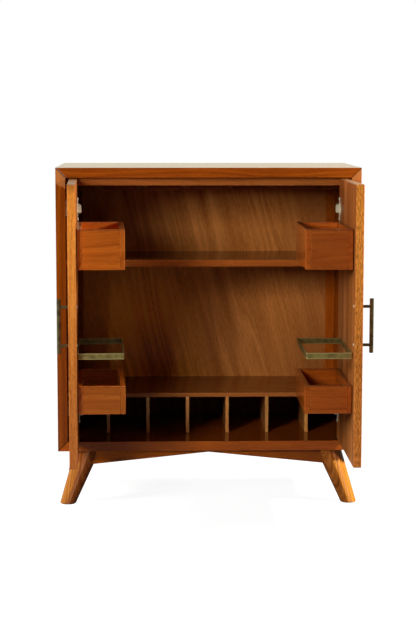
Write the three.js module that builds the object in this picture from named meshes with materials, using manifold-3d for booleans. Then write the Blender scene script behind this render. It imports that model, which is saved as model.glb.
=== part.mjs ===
// Bar armoire: a mitred wooden case on splayed legs, with two inset doors that carry racks.
// Millimetres, +Z up. X runs to the right of someone facing the doors, and Y to the rear.
// The doors stand open. The origin is on the floor, under the middle of the whole outline.
import * as THREE from 'three';
import { mergeVertices } from 'three/addons/utils/BufferGeometryUtils.js';
import Module from 'manifold-3d';

const wasm = await Module();
wasm.setup();

// Case: four boards, mitred at the corners
const case_width = 864;
const case_depth = 457;
const case_height = 811;
const case_board = 28;

// Back of the case
const back_panel_thickness = 9;
const back_panel_recess = 8;
const post_width = 28;
const post_thickness = 15;

// Shelves and bottle cubbies, from the case floor up
const interior_setback = 132;
const cubby_height = 106;
const cubby_count = 7;
const divider_thickness = 9.5;
const wine_shelf_thickness = 12;
const middle_height = 373;
const upper_shelf_thickness = 20;

// Rail behind the tops of the doors
const rail_height = 23;
const rail_thickness = 18;
const rail_swing_clearance = 1.3;

// Stemware rack: a slotted board that hangs on cleats
const rack_thickness = 11;
const rack_slot_width = 30;
const rack_slot_count = 6;
const rack_side_margin = 86.5;
const rack_rear_margin = 45;
const cleat_height = 28;
const cleat_width = 20;

// Legs, measured square to their axes, with insets from the sides and front of the case
const leg_height = 154;
const leg_top_diameter = 69.5;
const leg_foot_diameter = 43;
const leg_top_inset_x = 84;
const leg_top_inset_y = 38;
const leg_foot_inset_x = 27;
const leg_foot_inset_y = 14;

// Aprons between the legs, cut to a shallow inverted V
const apron_thickness = 20;
const apron_setback = 14;
const apron_leg_depth = 42;
const apron_middle_depth = 6;

// Doors, inset in the case
const door_thickness = 22;
const door_side_gap = 2;
const door_meeting_gap = 3;
const door_end_gap = 3;
const right_door_open_degrees = 90;
const left_door_open_degrees = 87.7;

// Hinge axis: inset from the case side, and set behind the case's front plane
const pivot_inset = 17.25;
const pivot_depth = 6.75;

// Concealed hinges
const hinge_end_inset = 85;
const cup_diameter = 35;
const cup_depth = 11.5;
const cup_edge_inset = 22;
const flange_height = 65;
const flange_width = 10;
const flange_thickness = 2;
const knuckle_height = 20;
const knuckle_width = 22;
const knuckle_reach = 11;
const knuckle_edge_inset = 8;
const knuckle_root = 1.5;
const fork_thickness = 2;
const fork_gap = 0.5;
const fork_band = 7;
const fork_clearance = 0.35;
const fork_root = 4;
const arm_length = 58;
const arm_reach = 12;
const arm_swing_clearance = 2;
const plate_height = 46;
const plate_width = 15;
const plate_thickness = 2.5;
const plate_setback = 18;

// Boxes on the doors: long walls run through, ends and bottom fit between them
const box_wall = 13;
const box_bottom = 9;
const box_bottom_recess = 2;
const box_reach = 127;
const box_free_inset = 28.5;
const box_hinge_inset = 72;
const box_relief_depth = 2.7;
const box_relief_length = 26;
const upper_box_height = 107;
const upper_box_rise = 16;
const lower_box_height = 74.5;
const lower_box_rise = 26;

// Bottle rings over the lower boxes
const ring_height = 16;
const ring_bar = 3;
const ring_reach = 124;
const ring_free_inset = 33;
const ring_hinge_inset = 76;
const ring_corner = 5;
const ring_rise = 71.5;

// Bar handles
const handle_diameter = 11;
const handle_length = 144;
const handle_post_diameter = 8;
const handle_post_spacing = 102;
const handle_reach = 30;
const handle_free_inset = 19;
const handle_rise = 3;

// Eased edges, and the gap that seated pieces on the doors keep
const case_ease = 1;
const door_ease = 1.2;
const small_ease = 0.8;
const metal_ease = 0.6;
const foot_ease = 2.5;
const seat_gap = 0.3;
const cut_overrun = 5;

// Facets
const leg_segments = 36;
const round_segments = 24;
const arc_segments = 10;
const corner_segments = 4;

// Case, worked out
const half_width = case_width / 2;
const inner_half_width = half_width - case_board;
const case_floor = leg_height + case_board;
const case_top = leg_height + case_height;
const case_ceiling = case_top - case_board;
const back_face = case_depth - back_panel_recess - back_panel_thickness;
const post_face = back_face - post_thickness;
const wine_shelf_bottom = case_floor + cubby_height;
const wine_shelf_top = wine_shelf_bottom + wine_shelf_thickness;
const upper_shelf_bottom = wine_shelf_top + middle_height;
const upper_shelf_top = upper_shelf_bottom + upper_shelf_thickness;

// Doors, worked out: u runs from the hinge edge to the free edge, v from the outer face inwards
const door_width = (2 * inner_half_width - 2 * door_side_gap - door_meeting_gap) / 2;
const door_bottom = case_floor + door_end_gap;
const door_top = case_ceiling - door_end_gap;
const door_middle = (door_bottom + door_top) / 2;
const hinge_heights = { upper: door_top - hinge_end_inset, lower: door_bottom + hinge_end_inset };
const pivot_from_edge = pivot_inset - door_side_gap;
const door_corner_swing = Math.hypot(pivot_from_edge, door_thickness - pivot_depth);
const eased_corner_swing = Math.hypot(pivot_from_edge - door_ease, door_thickness - pivot_depth);
const arm_height = knuckle_height + 2 * (fork_gap + fork_thickness);

// Legs, worked out
const leg_spread_x = leg_top_inset_x - leg_foot_inset_x;
const leg_spread_y = leg_top_inset_y - leg_foot_inset_y;
const leg_stretch_x = Math.hypot(leg_height, leg_spread_x) / leg_height;
const leg_stretch_y = Math.hypot(leg_height, leg_spread_y) / leg_height;

// The outline's front and rear, which set the origin
function doorFront(degrees) {
  const angle = THREE.MathUtils.degToRad(degrees);
  const reach = door_width - pivot_from_edge;
  return pivot_depth - reach * Math.sin(angle) - pivot_depth * Math.cos(angle);
}
const outline_front = Math.min(doorFront(right_door_open_degrees), doorFront(left_door_open_degrees));
const outline_rear = case_depth - leg_foot_inset_y + leg_foot_diameter / 2 * leg_stretch_y;

// Finishes
function finish(color, roughness, metalness) {
  return new THREE.MeshStandardMaterial({ color, roughness, metalness });
}
const honey_wood = () => finish(0xa65f24, 0.42, 0);
const panel_wood = () => finish(0x6e4420, 0.5, 0);
const aged_bronze = () => finish(0x6f6444, 0.38, 0.9);
const nickel = () => finish(0xc9c6bb, 0.3, 0.95);

// A box between two corners with every edge eased, standing round its own centre
function easedBox(low, high, ease) {
  const size = new THREE.Vector3().subVectors(high, low);
  const x = size.x / 2;
  const y = size.y / 2;
  const shape = new THREE.Shape([
    new THREE.Vector2(-x + ease, -y),
    new THREE.Vector2(x - ease, -y),
    new THREE.Vector2(x, -y + ease),
    new THREE.Vector2(x, y - ease),
    new THREE.Vector2(x - ease, y),
    new THREE.Vector2(-x + ease, y),
    new THREE.Vector2(-x, y - ease),
    new THREE.Vector2(-x, -y + ease),
  ]);
  return easedPlate(shape, size.z, ease);
}

// A flat outline given a thickness along Z, centred on it, with both rims eased
function easedPlate(shape, thickness, ease) {
  const geometry = new THREE.ExtrudeGeometry(shape, {
    depth: thickness - 2 * ease,
    bevelThickness: ease,
    bevelSize: ease,
    bevelOffset: -ease,
    bevelSegments: 1,
    curveSegments: arc_segments,
  });
  return geometry.translate(0, 0, ease - thickness / 2);
}

function addBoard(group, name, material, low, high, ease) {
  const mesh = new THREE.Mesh(easedBox(low, high, ease), material);
  mesh.name = name;
  mesh.position.addVectors(low, high).multiplyScalar(0.5);
  group.add(mesh);
  return mesh;
}

function addMesh(group, name, material, geometry) {
  const mesh = new THREE.Mesh(geometry, material);
  mesh.name = name;
  group.add(mesh);
  return mesh;
}

function at(x, y, z) {
  return new THREE.Vector3(x, y, z);
}

// A closed skin over level elliptical rings, listed from the lowest to the highest
function ringSkin(rings, segments) {
  const points = [];
  for (const ring of rings) {
    for (let i = 0; i < segments; i += 1) {
      const angle = 2 * Math.PI * i / segments;
      const x = ring.x + ring.rx * Math.cos(angle);
      const y = ring.y + ring.ry * Math.sin(angle);
      points.push(x, y, ring.z);
    }
  }
  const first = rings[0];
  const last = rings[rings.length - 1];
  const low_centre = points.length / 3;
  points.push(first.x, first.y, first.z);
  points.push(last.x, last.y, last.z);
  const faces = [];
  for (let i = 0; i < segments; i += 1) {
    const next = (i + 1) % segments;
    for (let k = 0; k + 1 < rings.length; k += 1) {
      const below = k * segments;
      const above = below + segments;
      faces.push(below + i, below + next, above + next);
      faces.push(below + i, above + next, above + i);
    }
    const top = (rings.length - 1) * segments;
    faces.push(low_centre, next, i);
    faces.push(low_centre + 1, top + i, top + next);
  }
  const geometry = new THREE.BufferGeometry();
  geometry.setAttribute('position', new THREE.Float32BufferAttribute(points, 3));
  geometry.setIndex(faces);
  geometry.computeVertexNormals();
  return geometry;
}

// A round bar from one point to another, with its rims eased
function roundBar(from, to, diameter, ease) {
  const length = from.distanceTo(to);
  const r = diameter / 2;
  const rings = [
    { x: 0, y: 0, z: 0, rx: r - ease, ry: r - ease },
    { x: 0, y: 0, z: ease, rx: r, ry: r },
    { x: 0, y: 0, z: length - ease, rx: r, ry: r },
    { x: 0, y: 0, z: length, rx: r - ease, ry: r - ease },
  ];
  const direction = new THREE.Vector3().subVectors(to, from).normalize();
  const turn = new THREE.Quaternion().setFromUnitVectors(at(0, 0, 1), direction);
  return ringSkin(rings, round_segments).applyQuaternion(turn).translate(from.x, from.y, from.z);
}

// Solids for joins and cuts
function solidOf(geometry) {
  const bare = geometry.clone();
  bare.deleteAttribute('normal');
  bare.deleteAttribute('uv');
  const merged = mergeVertices(bare);
  const vertProperties = merged.attributes.position.array;
  const triVerts = new Uint32Array(merged.index.array);
  return new wasm.Manifold(new wasm.Mesh({ numProp: 3, vertProperties, triVerts }));
}

function geometryOf(solid) {
  const mesh = solid.getMesh();
  const geometry = new THREE.BufferGeometry();
  geometry.setAttribute('position', new THREE.Float32BufferAttribute(mesh.vertProperties, 3));
  geometry.setIndex(Array.from(mesh.triVerts));
  geometry.computeVertexNormals();
  return geometry;
}

function joined(...geometries) {
  return geometryOf(geometries.map(solidOf).reduce((whole, piece) => whole.add(piece)));
}

function boxBetween(low, high, ease) {
  const middle = new THREE.Vector3().addVectors(low, high).multiplyScalar(0.5);
  return easedBox(low, high, ease).translate(middle.x, middle.y, middle.z);
}

// One mitred board of the case, by its long outer edge and its inner edge in the XZ plane
function caseBoard(group, name, corners) {
  const shape = new THREE.Shape(corners.map(([x, z]) => new THREE.Vector2(x, z)));
  const geometry = easedPlate(shape, case_depth, case_ease).rotateX(Math.PI / 2);
  addMesh(group, name, honey_wood(), geometry).position.y = case_depth / 2;
}

function addCase(group) {
  const outer = half_width;
  const inner = inner_half_width;
  caseBoard(group, 'case_top', [
    [-inner, case_ceiling],
    [inner, case_ceiling],
    [outer, case_top],
    [-outer, case_top],
  ]);
  caseBoard(group, 'case_bottom', [
    [-outer, leg_height],
    [outer, leg_height],
    [inner, case_floor],
    [-inner, case_floor],
  ]);
  caseBoard(group, 'case_side_left', [
    [-outer, leg_height],
    [-inner, case_floor],
    [-inner, case_ceiling],
    [-outer, case_top],
  ]);
  caseBoard(group, 'case_side_right', [
    [inner, case_floor],
    [outer, leg_height],
    [outer, case_top],
    [inner, case_ceiling],
  ]);
}

// Back panel, and the posts that stand in the rear corners from the wine shelf to the top
function addBack(group) {
  const inner = inner_half_width;
  const panel_low = at(-inner, back_face, case_floor);
  const panel_high = at(inner, back_face + back_panel_thickness, case_ceiling);
  addBoard(group, 'back_panel', panel_wood(), panel_low, panel_high, small_ease);
  for (const [side, name] of [[-1, 'left'], [1, 'right']]) {
    const near = side * (inner - post_width);
    const far = side * inner;
    const low = at(Math.min(near, far), post_face, wine_shelf_top);
    const high = at(Math.max(near, far), back_face, case_ceiling);
    addBoard(group, 'corner_post_' + name, honey_wood(), low, high, small_ease);
  }
}

// Upper shelf, notched round the corner posts
function addUpperShelf(group) {
  const inner = inner_half_width;
  const notch_x = inner - post_width - seat_gap;
  const notch_y = post_face - seat_gap;
  const shape = new THREE.Shape([
    new THREE.Vector2(-inner, interior_setback),
    new THREE.Vector2(inner, interior_setback),
    new THREE.Vector2(inner, notch_y),
    new THREE.Vector2(notch_x, notch_y),
    new THREE.Vector2(notch_x, back_face),
    new THREE.Vector2(-notch_x, back_face),
    new THREE.Vector2(-notch_x, notch_y),
    new THREE.Vector2(-inner, notch_y),
  ]);
  const geometry = easedPlate(shape, upper_shelf_thickness, small_ease);
  const shelf = addMesh(group, 'upper_shelf', honey_wood(), geometry);
  shelf.position.z = (upper_shelf_bottom + upper_shelf_top) / 2;
}

// Wine shelf, with the upright dividers that part the bottle cubbies under it
function addCubbies(group) {
  const inner = inner_half_width;
  const shelf_low = at(-inner, interior_setback, wine_shelf_bottom);
  const shelf_high = at(inner, back_face, wine_shelf_top);
  addBoard(group, 'wine_shelf', honey_wood(), shelf_low, shelf_high, small_ease);
  const divider_count = cubby_count - 1;
  const cubby_width = (2 * inner - divider_count * divider_thickness) / cubby_count;
  for (let i = 1; i <= divider_count; i += 1) {
    const left = -inner + i * cubby_width + (i - 1) * divider_thickness;
    const low = at(left, interior_setback, case_floor);
    const high = at(left + divider_thickness, back_face, wine_shelf_bottom);
    addBoard(group, 'bottle_divider_' + i, honey_wood(), low, high, small_ease);
  }
}

// Rail under the case top, clear of the corner that each door sweeps inwards
function addTopRail(group) {
  const front = pivot_depth + door_corner_swing + rail_swing_clearance;
  const low = at(-inner_half_width, front, case_ceiling - rail_height);
  const high = at(inner_half_width, front + rail_thickness, case_ceiling);
  addBoard(group, 'top_rail', honey_wood(), low, high, small_ease);
}

// Stemware rack: slots run in from the front and end in half circles
function addStemwareRack(group) {
  const inner = inner_half_width;
  const slot_end = post_face - rack_rear_margin;
  const pitch = (2 * inner - 2 * rack_side_margin) / (rack_slot_count - 1);
  const r = rack_slot_width / 2;
  const shape = new THREE.Shape();
  shape.moveTo(inner, interior_setback);
  shape.lineTo(inner, post_face);
  shape.lineTo(-inner, post_face);
  shape.lineTo(-inner, interior_setback);
  for (let i = 0; i < rack_slot_count; i += 1) {
    const x = -inner + rack_side_margin + i * pitch;
    shape.lineTo(x - r, interior_setback);
    shape.lineTo(x - r, slot_end - r);
    shape.absarc(x, slot_end - r, r, Math.PI, 0, true);
    shape.lineTo(x + r, interior_setback);
  }
  shape.closePath();
  const geometry = easedPlate(shape, rack_thickness, small_ease);
  const rack = addMesh(group, 'stemware_rack', honey_wood(), geometry);
  const rack_top = case_ceiling - cleat_height;
  rack.position.z = rack_top - rack_thickness / 2;

  const side_low = at(inner - cleat_width, interior_setback, rack_top);
  const side_high = at(inner, post_face, case_ceiling);
  addBoard(group, 'rack_cleat_right', honey_wood(), side_low, side_high, small_ease);
  const left_low = at(-inner, interior_setback, rack_top);
  const left_high = at(-inner + cleat_width, post_face, case_ceiling);
  addBoard(group, 'rack_cleat_left', honey_wood(), left_low, left_high, small_ease);
  const rear_low = at(-inner + cleat_width, post_face - cleat_width, rack_top);
  const rear_high = at(inner - cleat_width, post_face, case_ceiling);
  addBoard(group, 'rack_cleat_rear', honey_wood(), rear_low, rear_high, small_ease);
}

// One leg round its true place, grown by a margin for cutting its seat in an apron
function legGeometry(side_x, side_y, margin) {
  const mid_y = case_depth / 2;
  const foot_x = side_x * (half_width - leg_foot_inset_x);
  const foot_y = mid_y + side_y * (mid_y - leg_foot_inset_y);
  const top_x = side_x * (half_width - leg_top_inset_x);
  const top_y = mid_y + side_y * (mid_y - leg_top_inset_y);
  const foot_r = leg_foot_diameter / 2 + margin;
  const top_r = leg_top_diameter / 2 + margin;
  const ring = (x, y, z, r) => ({ x, y, z, rx: r * leg_stretch_x, ry: r * leg_stretch_y });
  return ringSkin([
    ring(foot_x, foot_y, 0, foot_r - foot_ease),
    ring(foot_x, foot_y, foot_ease, foot_r),
    ring(top_x, top_y, leg_height, top_r),
  ], leg_segments);
}

function addLegs(group) {
  for (const [side_y, end] of [[-1, 'front'], [1, 'rear']]) {
    for (const [side_x, side] of [[-1, 'left'], [1, 'right']]) {
      const geometry = legGeometry(side_x, side_y, 0);
      addMesh(group, 'leg_' + end + '_' + side, honey_wood(), geometry);
    }
  }
}

// Aprons run into the legs and are cut back to clear them
function addAprons(group) {
  const end_x = half_width - leg_top_inset_x;
  const shape = new THREE.Shape([
    new THREE.Vector2(-end_x, leg_height - apron_leg_depth),
    new THREE.Vector2(0, leg_height - apron_middle_depth),
    new THREE.Vector2(end_x, leg_height - apron_leg_depth),
    new THREE.Vector2(end_x, leg_height),
    new THREE.Vector2(-end_x, leg_height),
  ]);
  for (const [side_y, end] of [[-1, 'front'], [1, 'rear']]) {
    const inset = apron_setback + apron_thickness / 2;
    const mid_y = case_depth / 2;
    const y = mid_y + side_y * (mid_y - inset);
    const blank = easedPlate(shape, apron_thickness, case_ease).rotateX(Math.PI / 2);
    let apron = solidOf(blank.translate(0, y, 0));
    for (const side_x of [-1, 1]) {
      apron = apron.subtract(solidOf(legGeometry(side_x, side_y, seat_gap)));
    }
    addMesh(group, 'apron_' + end, honey_wood(), geometryOf(apron));
  }
}

// Fork of a hinge arm, seen from above: it bends round the door's rear corner, which turns inside it
function forkShape(arm_front) {
  const wall = inner_half_width;
  const pivot_x = wall - pivot_inset;
  const toe_y = door_thickness + seat_gap;
  const inner_r = eased_corner_swing + fork_clearance;
  const outer_r = inner_r + fork_band;
  const inner_angle = Math.asin((toe_y - pivot_depth) / inner_r);
  const outer_angle = Math.asin((toe_y - pivot_depth) / outer_r);
  const arm_angle = Math.acos((pivot_inset - arm_reach) / outer_r);
  const shape = new THREE.Shape();
  shape.moveTo(wall, toe_y);
  shape.lineTo(wall, arm_front + fork_root);
  shape.lineTo(wall - arm_reach, arm_front + fork_root);
  shape.absarc(pivot_x, pivot_depth, outer_r, arm_angle, Math.PI - outer_angle, false);
  shape.absarc(pivot_x, pivot_depth, inner_r, Math.PI - inner_angle, inner_angle, true);
  shape.closePath();
  return shape;
}

// Hinge arms: a screw plate and a channel on each inner side of the case, and the fork ahead of it
function addHingeArms(group) {
  const front = door_thickness + seat_gap + knuckle_reach + arm_swing_clearance;
  const fork_height = (arm_height - fork_thickness) / 2;
  for (const [side, side_name] of [[-1, 'left'], [1, 'right']]) {
    for (const [level, z] of Object.entries(hinge_heights)) {
      const wall = inner_half_width;
      const arm_low = at(wall - arm_reach, front, z - arm_height / 2);
      const arm_high = at(wall, front + arm_length, z + arm_height / 2);
      const plate_front = front + plate_setback;
      const plate_low = at(wall - plate_thickness, plate_front, z - plate_height / 2);
      const plate_high = at(wall, plate_front + plate_width, z + plate_height / 2);
      const arm = boxBetween(arm_low, arm_high, metal_ease);
      const plate = boxBetween(plate_low, plate_high, metal_ease);
      const pieces = [arm, plate];
      for (const end of [-1, 1]) {
        const cheek = new THREE.ExtrudeGeometry(forkShape(front), {
          depth: fork_thickness,
          bevelEnabled: false,
          curveSegments: arc_segments,
        });
        pieces.push(cheek.translate(0, 0, z + end * fork_height - fork_thickness / 2));
      }
      const name = 'hinge_arm_' + level + '_' + side_name;
      addMesh(group, name, nickel(), joined(...pieces)).scale.x = side;
    }
  }
}

// Places on a door, from u and v, in the frame of its hinge axis with the door shut
const doorX = (u) => pivot_from_edge - u;
const doorY = (v) => v - pivot_depth;
function doorBlock(u_range, v_range, z_range) {
  const low = at(doorX(u_range[1]), doorY(v_range[0]), z_range[0]);
  const high = at(doorX(u_range[0]), doorY(v_range[1]), z_range[1]);
  return [low, high];
}

function addDoorSlab(group, side_name) {
  const [low, high] = doorBlock([0, door_width], [0, door_thickness], [door_bottom, door_top]);
  let slab = solidOf(boxBetween(low, high, door_ease));
  const floor_v = door_thickness - cup_depth - seat_gap;
  for (const z of Object.values(hinge_heights)) {
    const from = at(doorX(cup_edge_inset), doorY(floor_v), z);
    const to = at(doorX(cup_edge_inset), doorY(door_thickness + cut_overrun), z);
    const bore = roundBar(from, to, cup_diameter + 2 * seat_gap, metal_ease);
    slab = slab.subtract(solidOf(bore));
  }
  addMesh(group, 'door_' + side_name, honey_wood(), geometryOf(slab));
}

function addHingeCups(group, side_name) {
  const face = door_thickness + seat_gap;
  for (const [level, z] of Object.entries(hinge_heights)) {
    const x = doorX(cup_edge_inset);
    const cup_from = at(x, doorY(door_thickness - cup_depth), z);
    const cup_to = at(x, doorY(door_thickness), z);
    const cup = roundBar(cup_from, cup_to, cup_diameter, metal_ease);
    const half_flange = flange_width / 2;
    const [flange_low, flange_high] = doorBlock(
      [cup_edge_inset - half_flange, cup_edge_inset + half_flange],
      [face, face + flange_thickness],
      [z - flange_height / 2, z + flange_height / 2],
    );
    const [knuckle_low, knuckle_high] = doorBlock(
      [knuckle_edge_inset, knuckle_edge_inset + knuckle_width],
      [door_thickness - knuckle_root, face + knuckle_reach],
      [z - knuckle_height / 2, z + knuckle_height / 2],
    );
    const flange = boxBetween(flange_low, flange_high, metal_ease);
    const knuckle = boxBetween(knuckle_low, knuckle_high, metal_ease);
    const name = 'hinge_cup_' + level + '_' + side_name;
    addMesh(group, name, nickel(), joined(cup, flange, knuckle));
  }
}

// The wall next to the door is relieved at its free end, which leaves a shadow gap there
function innerWallGeometry(height) {
  const u_low = box_hinge_inset;
  const u_high = door_width - box_free_inset;
  const v_low = door_thickness + seat_gap;
  const v_high = v_low + box_wall;
  const point = (u, v) => new THREE.Vector2(doorX(u), doorY(v));
  const shape = new THREE.Shape([
    point(u_high, v_low + box_relief_depth),
    point(u_high - box_relief_length, v_low + box_relief_depth),
    point(u_high - box_relief_length, v_low),
    point(u_low, v_low),
    point(u_low, v_high),
    point(u_high, v_high),
  ]);
  return easedPlate(shape, height, small_ease);
}

function addDoorBox(group, level, side_name, bottom, height) {
  const prefix = 'door_box_' + level + '_' + side_name + '_';
  const u_low = box_hinge_inset;
  const u_high = door_width - box_free_inset;
  const face = door_thickness + seat_gap;
  const inner_v = face + box_wall + seat_gap;
  const outer_v = face + box_reach - box_wall - seat_gap;
  const z_range = [bottom, bottom + height];
  const put = (name, u_range, v_range, heights) => {
    const [low, high] = doorBlock(u_range, v_range, heights);
    addBoard(group, prefix + name, honey_wood(), low, high, small_ease);
  };
  const inner = addMesh(group, prefix + 'inner_wall', honey_wood(), innerWallGeometry(height));
  inner.position.z = bottom + height / 2;
  put('outer_wall', [u_low, u_high], [outer_v + seat_gap, face + box_reach], z_range);
  put('free_end', [u_high - box_wall, u_high], [inner_v, outer_v], z_range);
  put('hinge_end', [u_low, u_low + box_wall], [inner_v, outer_v], z_range);
  const floor_low = bottom + box_bottom_recess;
  const floor_u = [u_low + box_wall + seat_gap, u_high - box_wall - seat_gap];
  put('bottom', floor_u, [inner_v, outer_v], [floor_low, floor_low + box_bottom]);
}

// A level rectangle with round corners, drawn the way round that a shape or a hole needs
function roundedPath(path, x0, y0, x1, y1, r) {
  path.moveTo(x0 + r, y0);
  path.lineTo(x1 - r, y0);
  path.absarc(x1 - r, y0 + r, r, -Math.PI / 2, 0, false);
  path.lineTo(x1, y1 - r);
  path.absarc(x1 - r, y1 - r, r, 0, Math.PI / 2, false);
  path.lineTo(x0 + r, y1);
  path.absarc(x0 + r, y1 - r, r, Math.PI / 2, Math.PI, false);
  path.lineTo(x0, y0 + r);
  path.absarc(x0 + r, y0 + r, r, Math.PI, 3 * Math.PI / 2, false);
  return path;
}

function addBottleRing(group, side_name, bottom) {
  const x0 = doorX(door_width - ring_free_inset);
  const x1 = doorX(ring_hinge_inset);
  const y0 = doorY(door_thickness + seat_gap);
  const y1 = doorY(door_thickness + seat_gap + ring_reach);
  const shape = roundedPath(new THREE.Shape(), x0, y0, x1, y1, ring_corner);
  const b = ring_bar;
  const inside = ring_corner - b;
  shape.holes.push(roundedPath(new THREE.Path(), x0 + b, y0 + b, x1 - b, y1 - b, inside));
  const geometry = new THREE.ExtrudeGeometry(shape, {
    depth: ring_height,
    bevelEnabled: false,
    curveSegments: corner_segments,
  });
  const ring = addMesh(group, 'bottle_ring_' + side_name, aged_bronze(), geometry);
  ring.position.z = bottom;
}

function addHandle(group, side_name) {
  const x = doorX(door_width - handle_free_inset);
  const y = doorY(handle_diameter / 2 - handle_reach);
  const middle = door_middle + handle_rise;
  const half_length = handle_length / 2;
  const bar_from = at(x, y, middle - half_length);
  const bar_to = at(x, y, middle + half_length);
  const pieces = [roundBar(bar_from, bar_to, handle_diameter, metal_ease)];
  for (const end of [-1, 1]) {
    const z = middle + end * handle_post_spacing / 2;
    const seat = at(x, doorY(-seat_gap), z);
    pieces.push(roundBar(at(x, y, z), seat, handle_post_diameter, metal_ease));
  }
  addMesh(group, 'handle_' + side_name, aged_bronze(), joined(...pieces));
}

// A whole door in the frame of its hinge axis, turned open. The left one is a mirror image.
function addDoor(group, side, side_name, open_degrees) {
  const door = new THREE.Group();
  door.position.set(side * (inner_half_width - pivot_inset), pivot_depth, 0);
  door.rotation.z = side * THREE.MathUtils.degToRad(open_degrees);
  door.scale.x = side;
  group.add(door);
  addDoorSlab(door, side_name);
  addHingeCups(door, side_name);
  const lower_bottom = wine_shelf_top + lower_box_rise;
  addDoorBox(door, 'upper', side_name, upper_shelf_top + upper_box_rise, upper_box_height);
  addDoorBox(door, 'lower', side_name, lower_bottom, lower_box_height);
  addBottleRing(door, side_name, lower_bottom + lower_box_height + ring_rise);
  addHandle(door, side_name);
}

const armoire = new THREE.Group();
armoire.position.y = -(outline_front + outline_rear) / 2;
addCase(armoire);
addBack(armoire);
addUpperShelf(armoire);
addCubbies(armoire);
addTopRail(armoire);
addStemwareRack(armoire);
addLegs(armoire);
addAprons(armoire);
addHingeArms(armoire);
addDoor(armoire, -1, 'left', left_door_open_degrees);
addDoor(armoire, 1, 'right', right_door_open_degrees);

export default armoire;
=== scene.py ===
"""Looks of a bar armoire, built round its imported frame. Metres, +Z up, +X right, +Y to the rear."""

import math

import bmesh
import bpy
from mathutils import Matrix, Vector


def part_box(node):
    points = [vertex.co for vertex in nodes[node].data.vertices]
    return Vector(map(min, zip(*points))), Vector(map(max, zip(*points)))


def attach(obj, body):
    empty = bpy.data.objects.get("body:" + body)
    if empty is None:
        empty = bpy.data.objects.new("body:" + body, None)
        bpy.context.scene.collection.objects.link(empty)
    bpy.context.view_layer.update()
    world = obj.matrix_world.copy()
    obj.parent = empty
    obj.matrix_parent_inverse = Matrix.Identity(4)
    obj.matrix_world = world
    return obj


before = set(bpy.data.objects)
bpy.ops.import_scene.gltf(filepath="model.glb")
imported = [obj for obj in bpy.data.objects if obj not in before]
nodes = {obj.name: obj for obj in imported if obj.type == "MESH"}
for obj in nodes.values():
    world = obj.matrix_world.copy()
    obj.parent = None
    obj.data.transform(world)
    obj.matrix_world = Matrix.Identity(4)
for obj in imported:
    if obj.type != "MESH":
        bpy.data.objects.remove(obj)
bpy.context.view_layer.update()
scene = bpy.context.scene
scene.view_settings.view_transform = "Standard"

# Camera, where the photograph was taken from
LENS_MM = 93.83
SENSOR_MM = 36
CAMERA_PLACE = (-0.1359, -4.6346, 1.1154)
CAMERA_TURN = (1.44959, -0.00082, -0.02901)

camera_data = bpy.data.cameras.new("camera")
camera_data.lens = LENS_MM
camera_data.sensor_width = SENSOR_MM
camera = bpy.data.objects.new("camera", camera_data)
camera.location = CAMERA_PLACE
camera.rotation_euler = CAMERA_TURN
scene.collection.objects.link(camera)
scene.camera = camera


def box_round(points):
    """The lowest and highest corners of a box round some points."""
    low = [min(p[i] for p in points) for i in range(3)]
    high = [max(p[i] for p in points) for i in range(3)]
    return low, high


# The four mitred boards together
CASE_BOARDS = ("case_top", "case_bottom", "case_side_left", "case_side_right")
CASE_LOW, CASE_HIGH = box_round([v.co for name in CASE_BOARDS for v in nodes[name].data.vertices])

# The doors as they stand open: their angle, and their pivot from the case's middle and front plane
OPEN = {"left": math.radians(87.7), "right": math.radians(90)}
SIGN = {"left": -1, "right": 1}
PIVOT_X = 0.38675
PIVOT_Y = 0.00675
PIVOT_ACROSS = 0.01525


def linear(red, green, blue):
    """A colour read from a picture, 0 to 255 a channel, as light."""
    levels = [c / 255 for c in (red, green, blue)]
    return tuple(c / 12.92 if c <= 0.04045 else ((c + 0.055) / 1.055) ** 2.4 for c in levels)


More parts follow.
